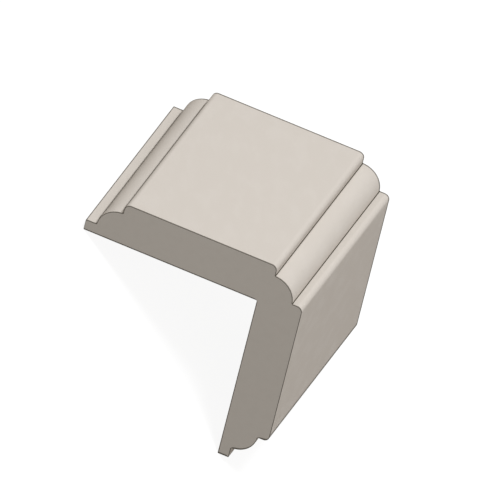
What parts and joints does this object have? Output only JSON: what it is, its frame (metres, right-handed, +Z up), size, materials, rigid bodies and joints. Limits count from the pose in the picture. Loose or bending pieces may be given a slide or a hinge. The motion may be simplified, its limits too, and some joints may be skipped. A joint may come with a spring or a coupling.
{
  "type": "corner guard",
  "caption": "L shaped wall corner moulding with a rounded corner bead, stepped flat faces, and a beaded, thin flanged tip on each leg; lies ridge up.",
  "frame": {"origin": "centre of the footprint, on the floor that the flange edges lie on", "axes": "+Y along the length of the moulding, +X across it from the left leg to the right leg, +Z up through the corner bead"},
  "size_m": [0.0344, 0.0286, 0.021],
  "materials": {
    "primed_wood": "smooth warm greige primer, matt, on a milled wood moulding"
  },
  "bodies": {
    "root": {"corner_guard": "primed_wood"}
  },
  "joints": []
}
